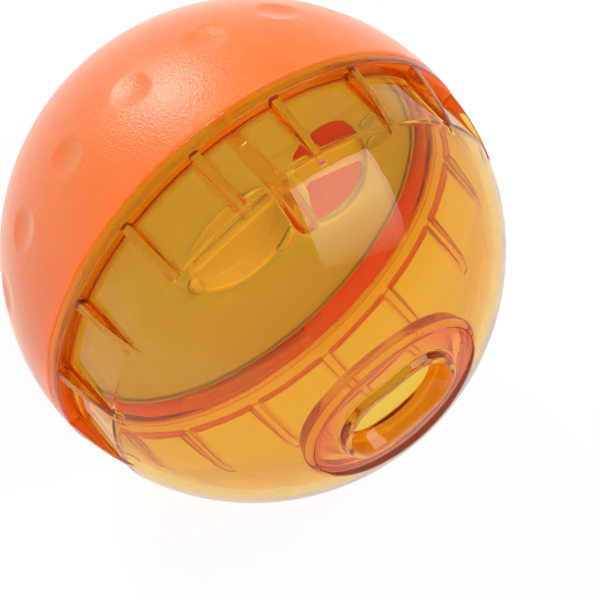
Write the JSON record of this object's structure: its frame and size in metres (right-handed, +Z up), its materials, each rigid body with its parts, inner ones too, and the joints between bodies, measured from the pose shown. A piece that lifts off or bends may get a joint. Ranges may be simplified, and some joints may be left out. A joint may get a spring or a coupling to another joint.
{
  "type": "treat ball",
  "caption": "Two-part treat dispensing ball: a coloured half screws onto a clear half with a mouth, with a divider and a turning level dial between them.",
  "frame": {"origin": "centre of the ball, on the seam between the halves", "axes": "-Y along the ball's axis, out of the mouth in the clear half; +Y towards the pole of the coloured half; +Z up, with the ball lying on its side; X across"},
  "size_m": [0.102, 0.1003, 0.102],
  "materials": {
    "clear_amber": "clear amber tinted polycarbonate, polished",
    "orange_plastic": "opaque orange plastic with a fine leather-like grain",
    "divider_plastic": "pale milky moulded plastic, half matt",
    "dial_plastic": "pale milky moulded plastic, half matt"
  },
  "bodies": {
    "clear_half": {"clear_shell": "clear_amber"},
    "divider_plate": {"divider": "divider_plastic"},
    "coloured_half": {"orange_shell": "orange_plastic"},
    "dial": {"level_dial": "dial_plastic"}
  },
  "joints": [
    {"name": "half_lift", "type": "slide", "parent": "clear_half", "child": "divider_plate", "axis": [0, 1, 0], "range_m": [0, 0.00901]},
    {"name": "cap_turn", "type": "hinge", "parent": "divider_plate", "child": "coloured_half", "pos_m": [0, 0, 0], "axis": [0, 1, 0], "range_deg": [0, 180]},
    {"name": "dial_turn", "type": "hinge", "parent": "divider_plate", "child": "dial", "pos_m": [0, 0, 0], "axis": [0, 1, 0], "continuous": true}
  ],
  "couplings": [
    {"joint": "half_lift", "follows": "cap_turn", "m_per_rad": 0.0028648}
  ]
}
